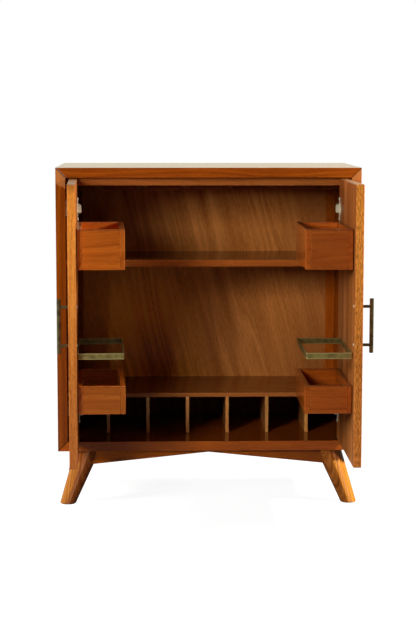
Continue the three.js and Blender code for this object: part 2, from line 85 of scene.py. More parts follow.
class Net:
    """A node tree, with short ways to add nodes and join them."""

    def __init__(self, tree):
        self.tree = tree

    def add(self, kind, inputs=None, **settings):
        made = self.tree.nodes.new("ShaderNode" + kind)
        for key, value in settings.items():
            setattr(made, key, value)
        for key, value in (inputs or {}).items():
            if isinstance(value, bpy.types.NodeSocket):
                self.tree.links.new(value, made.inputs[key])
            else:
                made.inputs[key].default_value = value
        return made

    def join(self, value, socket):
        self.tree.links.new(value, socket)

    def math(self, operation, a, b=0.0, clamp=False):
        made = self.add("Math", {0: a, 1: b}, operation=operation, use_clamp=clamp)
        return made.outputs[0]

    def vector(self, operation, a, b=(0, 0, 0)):
        return self.add("VectorMath", {0: a, 1: b}, operation=operation).outputs[0]

    def parts(self, vector):
        return self.add("SeparateXYZ", {0: vector}).outputs

    def span(self, value, low, high, to_low=0.0, to_high=1.0):
        """Carries low..high to to_low..to_high, and holds beyond them."""
        inputs = {0: value, 1: low, 2: high, 3: to_low, 4: to_high}
        return self.add("MapRange", inputs).outputs[0]

    def off(self, value, middle):
        """How far a value is from a middle one, either way."""
        return self.math("ABSOLUTE", self.math("SUBTRACT", value, middle))

    def noise(self, vector, scale=(1, 1, 1), detail=2.0, roughness=0.5):
        placed = self.vector("MULTIPLY", vector, scale)
        inputs = {"Vector": placed, "Scale": 1.0, "Detail": detail, "Roughness": roughness}
        return self.add("TexNoise", inputs)

    def sway(self, value, amount):
        """A value round one half, made a push of that amount either way."""
        return self.math("MULTIPLY", self.math("SUBTRACT", value, 0.5), amount)

    def mix(self, factor, a, b, blend="MIX"):
        inputs = {"Factor": factor, 6: a, 7: b}
        return self.add("Mix", inputs, data_type="RGBA", blend_type=blend).outputs[2]

    def paint(self, factor, color, tone):
        """Brings a colour toward a tone read from a picture, as far as the factor says."""
        return self.mix(factor, color, (*linear(*tone), 1))

    def tint(self, factor, color, by):
        """Multiplies a colour channel by channel, as far as the factor says."""
        return self.mix(factor, color, (*by, 1), "MULTIPLY")

    def ramp(self, factor, stops):
        made = self.add("ValToRGB", {"Fac": factor})
        band = made.color_ramp
        while len(band.elements) < len(stops):
            band.elements.new(0.5)
        for element, (place, value) in zip(band.elements, stops):
            element.position = place
            element.color = (*value, 1)
        return made.outputs["Color"]

    def bump(self, height, strength):
        """A fine relief, a fifth of a millimetre deep at full strength."""
        return self.add("Bump", {"Height": height, "Strength": strength, "Distance": 0.0002}).outputs[0]


def new_material(name):
    """A material, its net and its shader."""
    material = bpy.data.materials.new(name)
    material.use_nodes = True
    return material, Net(material.node_tree), material.node_tree.nodes["Principled BSDF"]


def new_group(name, inputs, outputs):
    tree = bpy.data.node_groups.new(name, "ShaderNodeTree")
    for kind, label in inputs:
        tree.interface.new_socket(label, in_out="INPUT", socket_type="NodeSocket" + kind)
    for kind, label in outputs:
        tree.interface.new_socket(label, in_out="OUTPUT", socket_type="NodeSocket" + kind)
    given = tree.nodes.new("NodeGroupInput").outputs
    return Net(tree), given, tree.nodes.new("NodeGroupOutput").inputs


# How finely each layer of the grain repeats in a metre: along the grain, then both ways across it
DRIFT_SCALE = (2.2, 7, 7)
FIBRE_SCALE = (9, 300, 300)
PORE_SCALE = (26, 1200, 1200)
PATCH_SCALE = (2.5, 9, 9)
FLECK_SCALE = (80, 190, 190)
BAND_SCALE = (0.5, 10, 10)
RING_SCALE = 120.0
# How far the grain drifts across, and how far the log's heart is from the board
GRAIN_DRIFT = (0, 0.05, 0.05)
HEART_ACROSS, HEART_DEEP = 0.13, 0.09
RING_SQUASH = (1, 1, 0.6)
# What the board's tone is multiplied by, from its darkest grain to its palest
GRAIN_STOPS = [
    (0.18, (0.5, 0.4, 0.29)),
    (0.42, (0.86, 0.82, 0.75)),
    (0.6, (1.1, 1.13, 1.15)),
    (0.85, (1.42, 1.55, 1.7)),
]
PORE_COLOR = (0.01, 0.004, 0.001, 1)
WORN_SHEEN_TINT = (1.5, 1.7, 2.2)
WOOD_ROUGHNESS = (0.12, 0.24)
WOOD_BUMP = 0.08


def wood_group():
    """Stained wood. The grain runs along X of Place: growth rings, fibres, pores and slow shading."""
    amounts = [("Float", label) for label in ("Figure", "Bands", "Mottle", "Wear")]
    net, given, result = new_group(
        "wood_grain",
        [("Vector", "Place"), ("Color", "Tone"), *amounts],
        [("Color", "Color"), ("Float", "Roughness"), ("Vector", "Normal")],
    )
    place = given["Place"]
    drift = net.noise(place, DRIFT_SCALE, 1.0).outputs["Color"]
    drift = net.vector("SUBTRACT", drift, (0.5, 0.5, 0.5))
    bent = net.vector("ADD", place, net.vector("MULTIPLY", drift, GRAIN_DRIFT))
    _, y, z = net.parts(net.vector("MULTIPLY", bent, RING_SQUASH))
    across = net.math("POWER", net.math("ADD", y, HEART_ACROSS), 2.0)
    deep = net.math("POWER", net.math("ADD", z, HEART_DEEP), 2.0)
    radius = net.math("SQRT", net.math("ADD", across, deep))
    ring_inputs = {"W": net.math("MULTIPLY", radius, RING_SCALE), "Scale": 1.0, "Detail": 2.5}
    rings = net.add("TexNoise", ring_inputs, noise_dimensions="1D").outputs[0]
    fibres = net.noise(bent, FIBRE_SCALE, 3.0, 0.6).outputs[0]
    pores = net.noise(bent, PORE_SCALE, 1.0).outputs[0]
    patches = net.noise(place, PATCH_SCALE).outputs[0]
    flecks = net.noise(place, FLECK_SCALE).outputs[0]
    bands = net.noise(place, BAND_SCALE).outputs[0]

    shade = net.math("ADD", 0.5, net.sway(rings, given["Figure"]))
    shade = net.math("ADD", shade, net.sway(fibres, 0.5))
    shade = net.math("ADD", shade, net.sway(patches, 0.5))
    shade = net.math("ADD", shade, net.sway(bands, given["Bands"]))
    shade = net.math("ADD", shade, net.sway(flecks, given["Mottle"]), clamp=True)
    color = net.mix(1.0, given["Tone"], net.ramp(shade, GRAIN_STOPS), "MULTIPLY")
    pore = net.span(pores, 0.6, 0.72)
    color = net.mix(net.math("MULTIPLY", pore, 0.35), color, PORE_COLOR)
    # Worn edges, whitened as a painted sheen along the arrises
    worn = net.math("MULTIPLY", given["Wear"], net.span(flecks, 0.35, 0.6))
    net.join(net.tint(worn, color, WORN_SHEEN_TINT), result["Color"])
    open_grain = net.math("ADD", fibres, net.math("MULTIPLY", pore, 0.4))
    net.join(net.span(open_grain, 0.3, 0.9, *WOOD_ROUGHNESS), result["Roughness"])
    height = net.math("SUBTRACT", net.math("MULTIPLY", fibres, 0.6), net.math("MULTIPLY", pore, 0.5))
    net.join(net.bump(height, WOOD_BUMP), result["Normal"])
    return net.tree


# A board's long edges are worn and carry a painted sheen, fully up to the first distance from them, and not
# beyond the second
WORN_SHEEN_EDGE = (0.0003, 0.0022)


def arris_group():
    """How near a point on a board is to one of its long edges: 1 on the edge, 0 beyond the width of its
    wear and painted sheen.
    """
    sockets = [("Vector", "Place"), ("Vector", "Low"), ("Vector", "High")]
    net, given, result = new_group("arris", sockets, [("Float", "Wear")])
    low = net.vector("SUBTRACT", given["Place"], given["Low"])
    high = net.vector("SUBTRACT", given["High"], given["Place"])
    a, b, c = net.parts(net.vector("MINIMUM", low, high))
    smaller, larger = net.math("MINIMUM", a, b), net.math("MAXIMUM", a, b)
    second = net.math("MAXIMUM", smaller, net.math("MINIMUM", larger, c))
    net.join(net.span(second, *WORN_SHEEN_EDGE, 1.0, 0.0), result["Wear"])
    return net.tree


WOOD = wood_group()
ARRIS = arris_group()
ALONG = {"x": (0, 0, 0), "y": (0, 0, -math.pi / 2), "z": (0, math.pi / 2, 0)}
LEFT_DOOR_TURN = OPEN["left"] - math.pi / 2
# How far apart in the log two boards of neighbouring seeds lie, and where that starts again
LOG_STEPS = (0.731, 0.417, 0.289)
LOG_REACHES = (3, 0.6, 0.5)


def squared(name):
    """The turn about Z that squares a piece with the axes, and its box once squared."""
    on_left_door = "left" in name and name.startswith("door")
    turn = LEFT_DOOR_TURN if on_left_door else 0.0
    rotation = Matrix.Rotation(turn, 3, "Z")
    low, high = box_round([rotation @ v.co for v in nodes[name].data.vertices])
    return turn, low, high


class Board:
    """One board's wood in the making: its net, its places, its colour and what its grain is given.

    Square, x, y and z are places on the board once it is squared with the axes."""

    def __init__(self, name, tone, along, tilt, zoom, seed, figure, bands, mottle):
        self.name = name
        self.material, self.net, self.shader = new_material("wood_" + name)
        where = self.net.add("TexCoord").outputs
        self.place = where["Object"]
        self.facing = self.net.parts(where["Normal"])
        turn, self.low, self.high = squared(name)
        square = {"Vector": self.place, "Rotation": (0, 0, turn)}
        self.square = self.net.add("Mapping", square).outputs[0]
        self.x, self.y, self.z = self.net.parts(self.square)
        tilted = {"Vector": self.square, "Rotation": (0, tilt, 0)}
        shift = [seed * step % reach for step, reach in zip(LOG_STEPS, LOG_REACHES)]
        laid = {
            "Vector": self.net.add("Mapping", tilted).outputs[0],
            "Rotation": ALONG[along],
            "Location": shift,
            "Scale": zoom,
        }
        self.grain = self.net.add("Mapping", laid).outputs[0]
        self.color = (*linear(*tone), 1)
        self.figure = figure
        self.bands = bands
        self.mottle = mottle

    def climb(self):
        """The height on the board: 0 at its foot, 1 at its top."""
        return self.net.span(self.z, self.low[2], self.high[2])

    def paint(self, factor, tone):
        self.color = self.net.paint(factor, self.color, tone)

    def tint(self, factor, by):
        self.color = self.net.tint(factor, self.color, by)

    def between(self, low_tone, high_tone, factor):
        """A colour that goes from one tone to another."""
        return self.net.paint(factor, (*linear(*low_tone), 1), high_tone)


# The front apron's tones at its left and right, darker to the right as painted shade, and between which
# places they change
APRON_SHADE_TONES = ((208, 106, 12), (128, 60, 9))
APRON_SHADE_CHANGE = (-0.35, 0.3)


def shade_apron(board):
    # Painted shade: the apron darkens from left to right
    board.color = board.between(*APRON_SHADE_TONES, board.net.span(board.x, *APRON_SHADE_CHANGE))


# Where the left door's edge is darker, in shares of its height
LEFT_EDGE_DARK_SHARES = (0.965, 0.99)
LEFT_EDGE_DARK_TINT = (0.6, 0.6, 0.75)


def shade_edges(board, flat_axis, foot, top, fleck):
    """Gives the faces that look away from an axis their own tones and flecks, and a calmer figure. A tone
    that grows paler from foot to top, as on the doors, is painted light.
    """
    net = board.net
    edge = net.span(net.math("ABSOLUTE", board.facing[flat_axis]), 0.8, 0.2)
    climb = board.climb()
    # On the doors this runs from foot to top as painted light
    banded = board.between(foot, top, climb)
    if board.name == "door_left":
        banded = net.tint(net.span(climb, *LEFT_EDGE_DARK_SHARES), banded, LEFT_EDGE_DARK_TINT)
    board.color = net.mix(edge, board.color, banded)
    board.mottle = net.span(edge, 0.0, 1.0, board.mottle, fleck)
    board.figure = net.span(edge, 0.0, 1.0, board.figure, 0.3)
    board.bands = net.span(edge, 0.0, 1.0, board.bands, 0.1)


# The right door's inner face: a painted pool of light beside its hinges, most at half height, and more
# bands
HINGE_LIGHT_ZONE = (-0.24, -0.17)
HINGE_LIGHT_TONE = (218, 142, 84)
INNER_FACE_BANDS = 0.7


def shade_inner_face(board, foot, top):
    net = board.net
    looks_in = net.span(board.facing[0], -0.5, -0.8)
    climb = board.climb()
    near_hinge = net.span(board.y, *HINGE_LIGHT_ZONE)
    halfway = net.span(net.off(climb, 0.5), 0.1, 0.3, 0.45, 0.1)
    # Painted light: paler toward the foot, and paler still beside the hinges
    graded = board.between(foot, top, climb)
    graded = net.paint(net.math("MULTIPLY", near_hinge, halfway), graded, HINGE_LIGHT_TONE)
    board.color = net.mix(looks_in, board.color, graded)
    board.bands = net.math("ADD", board.bands, net.math("MULTIPLY", looks_in, INNER_FACE_BANDS))


# The legs by side, -1 left and 1 right: the tone of their painted shaded side, how far outward a face
# looks where that ends, and where a painted sheen runs. They are painted lit outside up to a height, and
# the right ones carry a painted shadow outside above it
LEG_SHADED_TONE = {-1: (150, 80, 34), 1: (160, 90, 34)}
LEG_LIT_SIDE = {-1: (0.1, 0.25), 1: (-0.06, 0.04)}
LEG_SHEEN = {-1: -0.02, 1: 0.3}
LEG_SHEEN_WIDTH = (0.02, 0.13)
LEG_SHEEN_TONE = (206, 140, 98)
LEG_LIT_BELOW = (0.124, 0.116)
LEG_SHADOW_ABOVE = (0.118, 0.126)
LEG_SHADOW_TINT = (0.42, 0.34, 0.28)
LEG_RAGGED_SCALE = (12, 60, 60)
LEG_RAGGED_HEIGHT = 0.03


def shade_leg(board):
    net = board.net
    side = -1 if board.low[0] < 0 else 1
    out = net.math("MULTIPLY", board.facing[0], side)
    ragged = net.noise(board.grain, LEG_RAGGED_SCALE).outputs[0]
    height = net.math("ADD", board.z, net.sway(ragged, LEG_RAGGED_HEIGHT))
    # Painted light on the outward side below a height; the inward side keeps the painted shade tone
    pale = net.span(net.math("ADD", out, net.sway(ragged, 0.5)), *LEG_LIT_SIDE[side])
    pale = net.math("MULTIPLY", pale, net.span(height, *LEG_LIT_BELOW))
    board.color = net.mix(pale, (*linear(*LEG_SHADED_TONE[side]), 1), board.color)
    # A painted sheen running down the leg
    painted_sheen = net.span(net.off(out, LEG_SHEEN[side]), *LEG_SHEEN_WIDTH, 0.75, 0.0)
    board.paint(painted_sheen, LEG_SHEEN_TONE)
    # A painted shadow on the right legs' outer side near the top
    if side == 1:
        shadow_top = net.math("MULTIPLY", net.span(height, *LEG_SHADOW_ABOVE), net.span(out, -0.3, 0.1))
        board.tint(shadow_top, LEG_SHADOW_TINT)


# The corner posts have painted shade above the upper shelf
POST_SHADE_ABOVE = (0.69, 0.73)
POST_SHADE_TINT = (0.66, 0.67, 0.66)


def shade_corner_post(board):
    # Painted shade above the upper shelf
    board.tint(board.net.span(board.z, *POST_SHADE_ABOVE), POST_SHADE_TINT)


# The back panel's inside face holds painted light and shade: painted shade to the right, painted light
# about a place left of the middle, below a height, painted shade away from one level and in the cubbies,
# and the whole face painted paler. Its rear face has one tone
PANEL_SHADE_RIGHT = (0.22, 0.33)
PANEL_SHADE_RIGHT_TINT = (0.78, 0.76, 0.8)
PANEL_LIT_X = -0.2
PANEL_LIT_WIDTH = (0.22, 0.04)
PANEL_LIT_BELOW = (0.74, 0.5)
PANEL_LIT_TINT = (1.85, 1.95, 0.9)
PANEL_LEVEL = 0.58
PANEL_LEVEL_FADE = (0.04, 0.24)
PANEL_LEVEL_SHADE_TINT = (0.8, 0.8, 0.8)
PANEL_INSIDE_LIGHT_TINT = (1.17, 1.196, 1.235)
PANEL_CUBBY_SHADE_BELOW = (0.3, 0.27)
PANEL_CUBBY_SHADE_TINT = (0.45, 0.45, 0.4)
PANEL_REAR_TONE = (148, 84, 40)
PANEL_FIGURE_FADE = (0.16, 0.32)


def shade_back_panel(board):
    net = board.net
    inside = net.span(board.facing[1], 0.5, -0.5)
    # Painted light and shade on the inside face
    lit = net.tint(net.span(board.x, *PANEL_SHADE_RIGHT), board.color, PANEL_SHADE_RIGHT_TINT)
    beside = net.span(net.off(board.x, PANEL_LIT_X), *PANEL_LIT_WIDTH)
    middle = net.math("MULTIPLY", beside, net.span(board.z, *PANEL_LIT_BELOW))
    lit = net.tint(middle, lit, PANEL_LIT_TINT)
    from_level = net.span(net.off(board.z, PANEL_LEVEL), *PANEL_LEVEL_FADE)
    lit = net.tint(from_level, lit, PANEL_LEVEL_SHADE_TINT)
    lit = net.tint(1.0, lit, PANEL_INSIDE_LIGHT_TINT)
    lit = net.tint(net.span(board.z, *PANEL_CUBBY_SHADE_BELOW), lit, PANEL_CUBBY_SHADE_TINT)
    board.color = net.mix(inside, (*linear(*PANEL_REAR_TONE), 1), lit)
    from_middle = net.math("ABSOLUTE", board.x)
    board.figure = net.span(from_middle, *PANEL_FIGURE_FADE, board.figure, 0.15)


# Painted light and shade on the tops and undersides of the doors and their boxes, by the start of the
# board's name, and the painted reflection of an eased edge that a box wall has just below its top
LEVEL_FACE_LIGHTING_TINTS = {
    "door_box_lower_left": (1.7, 1.5, 1.2),
    "door_box": (0.62, 0.66, 1.1),
    "door_right": (0.34, 0.33, 0.31),
    "door_left": (0.5, 0.5, 0.5),
}
LIP_REFLECTION_DEPTHS = (0.0038, 0.0026)
LIP_REFLECTION_TINT = (0.56, 0.66, 1.6)


def shade_rims(board):
    net = board.net
    level = net.span(net.math("ABSOLUTE", board.facing[2]), 0.3, 0.8)
    # Painted light and shade on the level faces
    board.tint(level, next(tint for start, tint in LEVEL_FACE_LIGHTING_TINTS.items() if board.name.startswith(start)))
    if "box" in board.name and "bottom" not in board.name:
        # A painted reflection of the eased edge just below a box wall's top
        lip_reflection = net.span(board.z, *[board.high[2] - depth for depth in LIP_REFLECTION_DEPTHS])
        lip_reflection = net.math("MULTIPLY", lip_reflection, net.math("SUBTRACT", 1.0, level))
        board.tint(net.math("MULTIPLY", lip_reflection, 0.85), LIP_REFLECTION_TINT)


# The case's front: the mitres' dark lines, as the distances where they fade, a painted glint beside the
# upper left one, a painted patch of light on the sides near the top, and their darker part within the lip
SEAM = (0.0008, 0.0018)
SEAM_COLOR = (0.012, 0.006, 0.003, 1)
GLINT_FROM_SEAM = 0.0026
GLINT = (0.0004, 0.0011)
GLINT_LEFT_OF = (-0.4, -0.41)
GLINT_COLOR = (0.3, 0.32, 0.3, 1)
FRONT_FACE = (0.0015, 0.003)
LIT_PATCH_BELOW_TOP = (0.221, 0.213)
LIT_PATCH_SLOPE = -0.4
LIT_PATCH_RAGGED_SCALE = (90, 90, 30)
LIT_PATCH_RAGGED_HEIGHT = 0.02
LIT_PATCH_TONE = (205, 136, 76)
LIP = (0.018, 0.011)
LIPPED_TINT = (0.8, 0.74, 0.7)


def mark_case(board, color):
    """Draws the marks of the case's front over the finished grain, painted light among them."""
    net = board.net
    x, y, z = net.parts(board.place)
    out = net.math("ABSOLUTE", x)
    front = net.span(y, *[CASE_LOW[1] + depth for depth in FRONT_FACE], 1.0, 0.0)
    top = net.math("SUBTRACT", net.math("SUBTRACT", z, out), CASE_HIGH[2] - CASE_HIGH[0])
    bottom = net.math("SUBTRACT", net.math("ADD", z, out), CASE_LOW[2] + CASE_HIGH[0])
    near = net.math("MINIMUM", net.math("ABSOLUTE", top), net.math("ABSOLUTE", bottom))
    if "side" in board.name:
        within_lip = net.span(out, *[CASE_HIGH[0] - width for width in LIP], 1.0, 0.0)
        color = net.tint(net.math("MULTIPLY", within_lip, front), color, LIPPED_TINT)
        # A painted patch of light on the sides near the top
        height = net.math("SUBTRACT", z, (CASE_LOW[2] + CASE_HIGH[2]) / 2)
        ragged = net.noise(board.place, LIT_PATCH_RAGGED_SCALE).outputs[0]
        height = net.math("ADD", height, net.sway(ragged, LIT_PATCH_RAGGED_HEIGHT))
        height = net.math("ADD", height, net.math("MULTIPLY", out, LIT_PATCH_SLOPE))
        half_height = (CASE_HIGH[2] - CASE_LOW[2]) / 2
        pale = net.span(height, *[half_height - depth for depth in LIT_PATCH_BELOW_TOP])
        pale = net.math("MULTIPLY", pale, front)
        color = net.paint(net.math("MULTIPLY", pale, 0.35), color, LIT_PATCH_TONE)
    # A painted glint beside the upper left mitre
    glint = net.span(net.off(top, GLINT_FROM_SEAM), *GLINT, 1.0, 0.0)
    glint = net.math("MULTIPLY", glint, net.span(x, *GLINT_LEFT_OF))
    glint = net.math("MULTIPLY", glint, front)
    color = net.mix(net.math("MULTIPLY", glint, 0.6), color, GLINT_COLOR)
    seam = net.span(near, *SEAM, 1.0, 0.0)
    return net.mix(net.math("MULTIPLY", seam, 0.85), color, SEAM_COLOR)


def wood(name, tone, along, *, figure, seed, shine, tilt=0.0, zoom=(1, 1, 1), mottle=0.15, bands=0.1,
         matt=0.0, edges=None, inner=None):
    """A board's own wood: its tone, the axis that its grain runs along, and its place in the log.

    Edges go to shade_edges and inner to shade_inner_face, where the board has them."""
    board = Board(name, tone, along, tilt, zoom, seed, figure, bands, mottle)
    net = board.net
    if name == "apron_front":
        shade_apron(board)
    if edges:
        shade_edges(board, *edges)
    if inner:
        shade_inner_face(board, *inner)
    if name.startswith("leg"):
        shade_leg(board)
    if name.startswith("corner_post"):
        shade_corner_post(board)
    if name == "back_panel":
        shade_back_panel(board)
    if name.startswith("door"):
        shade_rims(board)
    box = {"Place": board.square, "Low": board.low, "High": board.high}
    given = {
        "Place": board.grain,
        "Tone": board.color,
        "Figure": board.figure,
        "Bands": board.bands,
        "Mottle": board.mottle,
        "Wear": net.add("Group", box, node_tree=ARRIS).outputs[0],
    }
    made = net.add("Group", given, node_tree=WOOD).outputs
    finished = made["Color"]
    if name in CASE_BOARDS:
        finished = mark_case(board, finished)
    net.join(finished, board.shader.inputs["Base Color"])
    net.join(net.math("ADD", made["Roughness"], matt), board.shader.inputs["Roughness"])
    net.join(made["Normal"], board.shader.inputs["Normal"])
    board.shader.inputs["Specular IOR Level"].default_value = shine
    return board.material


CLOUD_SCALE = (60, 60, 60)
UPRIGHT_STROKES = (900, 900, 70)
LEVEL_STROKES = (30, 30, 900)
METAL_BUMP = 0.15


def metal(name, tone, dull, *, rough, patina, metallic, strokes=UPRIGHT_STROKES, graze=1.0, shade=None):
    """Brushed metal with a cloudy patina and fine scratches.

    Graze is how bright it mirrors near its outline, and shade is what is worked into its colour."""
    material, net, shader = new_material(name)
    place = net.add("TexCoord").outputs["Object"]
    clouds = net.noise(place, CLOUD_SCALE, 3.0).outputs[0]
    brush = net.noise(place, strokes).outputs[0]
    worn = net.span(net.math("ADD", clouds, net.math("MULTIPLY", brush, 0.25)), 0.5, 0.8)
    worn = net.math("MULTIPLY", worn, patina)
    color = net.paint(worn, (*linear(*tone), 1), dull)
    if shade:
        color = shade(net, place, color)
    net.join(color, shader.inputs["Base Color"])
    uneven = net.math("ADD", worn, net.math("MULTIPLY", brush, 0.3))
    net.join(net.span(uneven, 0, 1, rough, rough + 0.25), shader.inputs["Roughness"])
    net.join(net.bump(brush, METAL_BUMP), shader.inputs["Normal"])
    shader.inputs["Metallic"].default_value = metallic
    shader.inputs["Specular Tint"].default_value = (graze, graze, graze, 1)
    return material


# The bottle rings: the middle of their bar and half its height, the widths at its rims that are
# rubbed bright with a painted highlight, and how far behind the front bar's outer face they carry painted
# shade
RING_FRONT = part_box("bottle_ring_right")[0][1]
RING_MIDDLE = 0.480
RING_HALF_HEIGHT = 0.008
RING_RUBBED_SHEEN = (0.0028, 0.0014)
RING_RUBBED_SHEEN_TONE = (240, 222, 150)
RING_SHADE_BEHIND = (0.006, 0.014)
RING_SHADE_TINT = (0.56, 0.58, 0.55)


def shade_ring(net, place, color):
    _, y, z = net.parts(place)
    limits = [RING_HALF_HEIGHT - width for width in RING_RUBBED_SHEEN]
    # Rims rubbed bright, with a painted highlight
    rubbed_sheen = net.math("MULTIPLY", net.span(net.off(z, RING_MIDDLE), *limits), 0.75)
    color = net.paint(rubbed_sheen, color, RING_RUBBED_SHEEN_TONE)
    # Painted shade behind the front bar
    behind = net.span(y, *[RING_FRONT + depth for depth in RING_SHADE_BEHIND])
    return net.tint(behind, color, RING_SHADE_TINT)


BRONZE = metal("aged_bronze", (206, 185, 110), (104, 90, 52), rough=0.34, patina=0.65, metallic=0.75)
RING_FINISH = {"rough": 0.34, "patina": 0.6, "metallic": 0.7, "strokes": LEVEL_STROKES, "shade": shade_ring}
RING_BRONZE = metal("ring_bronze", (200, 177, 104), (99, 85, 48), **RING_FINISH)
HANDLE_FINISH = {"rough": 0.42, "patina": 0.7, "metallic": 0.8, "graze": 0.1}
# The right handle's copy is darker, as painted shade
HANDLE_BRONZE = {
    "left": metal("handle_bronze", (146, 129, 90), (86, 73, 50), **HANDLE_FINISH),
    "right": metal("handle_bronze_dark", (130, 108, 68), (72, 59, 36), **HANDLE_FINISH),
}
NICKEL = metal("nickel", (240, 234, 206), (196, 188, 160), rough=0.38, patina=0.5, metallic=0.35)

# Tone, grain axis and figure of each wooden node but the doors and the back panel. Their order
# gives each its place in the log
BOARDS = {
    "case_top": ((129, 58, 7), "x", 0.6),
    "case_bottom": ((136, 65, 12), "x", 0.6),
    "case_side_left": ((124, 57, 3), "z", 0.6),
    "case_side_right": ((125, 59, 3), "z", 0.6),
    "corner_post_left": ((166, 80, 15), "z", 0.8),
    "corner_post_right": ((178, 86, 19), "z", 0.8),
    "top_rail": ((157, 86, 35), "x", 0.7),
    "upper_shelf": ((118, 60, 21), "x", 0.7),
    "wine_shelf": ((145, 82, 32), "x", 0.7),
    "stemware_rack": ((101, 43, 9), "x", 0.7),
    "rack_cleat_left": ((110, 50, 16), "y", 0.7),
    "rack_cleat_right": ((110, 50, 16), "y", 0.7),
    "rack_cleat_rear": ((110, 50, 16), "x", 0.7),
    # The legs' tones are those of their painted lit sides; the front right one is paler still, as painted
    # light
    "leg_front_left": ((192, 120, 52), "z", 1.2),
    "leg_front_right": ((226, 143, 51), "z", 1.2),
    "leg_rear_left": ((170, 106, 43), "z", 1.2),
    "leg_rear_right": ((174, 109, 44), "z", 1.2),
    "apron_front": ((169, 83, 9), "x", 0.7),
    "apron_rear": ((161, 84, 16), "x", 0.7),
}
DIVIDER_TONE = (200, 130, 66)
DIVIDER_FIGURE = 0.7

# The boards whose edges have their own tone: the axis that their faces look along, the tones of the
# edges at foot and top, and their flecks
EDGE_FLECK = 0.15
EDGES = {
    "case_bottom": (2, (172, 82, 14), (172, 82, 14), EDGE_FLECK),
    "upper_shelf": (2, (181, 95, 36), (181, 95, 36), EDGE_FLECK),
    "wine_shelf": (2, (178, 103, 46), (178, 103, 46), EDGE_FLECK),
}
# Each divider's front has its own tone, painted light and shade that change from one to the next
DIVIDER_FRONT_LIGHT_TONES = [
    (250, 194, 124),
    (250, 194, 124),
    (224, 152, 84),
    (220, 145, 76),
    (211, 145, 78),
    (223, 148, 67),
]
for i, front in enumerate(DIVIDER_FRONT_LIGHT_TONES, start=1):
    BOARDS[f"bottle_divider_{i}"] = (DIVIDER_TONE, "z", DIVIDER_FIGURE)
    EDGES[f"bottle_divider_{i}"] = (0, front, front, EDGE_FLECK)

# The boxes on the doors, and the boards of them that have a tone of their own, as painted light and shade:
# paler walls and hinge ends where the boxes stand in shade, and a darker outer wall on the upper left one
BOX_TONES = {
    "upper_left": (175, 85, 21),
    "upper_right": (154, 73, 22),
    "lower_left": (163, 83, 24),
    "lower_right": (169, 80, 20),
}
BOX_BOARD_LIGHT_TONES = {
    "upper_left_inner_wall": (206, 110, 33),
    "upper_left_outer_wall": (169, 83, 24),
    "upper_left_hinge_end": (212, 108, 34),
    "upper_right_inner_wall": (172, 83, 26),
    "upper_right_outer_wall": (172, 83, 26),
    "upper_right_hinge_end": (196, 96, 30),
    "lower_left_inner_wall": (200, 104, 36),
    "lower_left_hinge_end": (235, 150, 75),
}
BOX_FIGURE = 0.45
BOX_GRAIN = {"inner_wall": "y", "outer_wall": "y", "free_end": "x", "hinge_end": "x", "bottom": "y"}
for box_place, box_tone in BOX_TONES.items():
    for part, axis in BOX_GRAIN.items():
        board_name = f"{box_place}_{part}"
        own_tone = BOX_BOARD_LIGHT_TONES.get(board_name, box_tone)
        BOARDS["door_box_" + board_name] = (own_tone, axis, BOX_FIGURE)

# Each door: its place in the log, its edges' tone at the foot, their flecks, and its inner face's
# tones at foot and top, where they differ from its own. Both grade as painted light: the edges grow
# paler toward the top, the right inner face toward its foot
DOORS = {
    "left": (71, (182, 102, 46), 0.6, None),
    "right": (83, (214, 126, 54), 1.5, ((181, 111, 55), (143, 77, 32))),
}
DOOR_TONE = (164, 89, 38)
DOOR_EDGE_LIT_TOP = (224, 137, 51)
DOOR_WOOD = {"figure": 0.85, "bands": 0.5, "zoom": (1.7, 1.7, 1), "shine": 0.25, "matt": 0.22}

# The back panel's inside tone, paler than its rear's as painted light
PANEL_INSIDE_LIT_TONE = (198, 121, 56)
PANEL_TILT = math.radians(14)
PANEL_WOOD = {"figure": 0.85, "mottle": 0.5, "zoom": (2.4, 2.4, 0.7), "shine": 0.15, "seed": 91}

LEG_ZOOM = (3, 3, 1)
LEG_SHINE = 0.05
OUTER_SHINE = 0.3
DULL_SHINE = 0.15
DULL = ("upper_shelf", "wine_shelf", "stemware", "rack", "bottle_divider", "corner_post", "apron")


def dress(name, material):
    nodes[name].data.materials.clear()
    nodes[name].data.materials.append(material)


for seed, (name, (tone, axis, figure)) in enumerate(BOARDS.items(), start=1):
    finish = {"shine": DULL_SHINE if name.startswith(DULL) else OUTER_SHINE}
    if name.startswith("leg"):
        finish = {"shine": LEG_SHINE, "zoom": LEG_ZOOM}
    dress(name, wood(name, tone, axis, figure=figure, seed=seed, edges=EDGES.get(name), **finish))

for side, (seed, foot, fleck, inner) in DOORS.items():
    name = "door_" + side
    edges = (0, foot, DOOR_EDGE_LIT_TOP, fleck)
    dress(name, wood(name, DOOR_TONE, "z", seed=seed, edges=edges, inner=inner, **DOOR_WOOD))
    dress("handle_" + side, HANDLE_BRONZE[side])
    dress("bottle_ring_" + side, RING_BRONZE)

dress("back_panel", wood("back_panel", PANEL_INSIDE_LIT_TONE, "z", tilt=PANEL_TILT, **PANEL_WOOD))
for name in nodes:
    if name.startswith("hinge"):
        dress(name, NICKEL)


def door_point(side, across, deep, height):
    """A place on an open door: across from its hinged edge, deep from its outer face."""
    cos, sin = math.cos(OPEN[side]), math.sin(OPEN[side])
    a, d = PIVOT_ACROSS - across, deep - PIVOT_Y
    x = SIGN[side] * (PIVOT_X + a * cos - d * sin)
    return Vector((x, CASE_LOW[1] + PIVOT_Y + a * sin + d * cos, height))


def door_inward(side):
    """The way that a door's inner face looks."""
    return Vector((-SIGN[side] * math.sin(OPEN[side]), math.cos(OPEN[side]), 0))


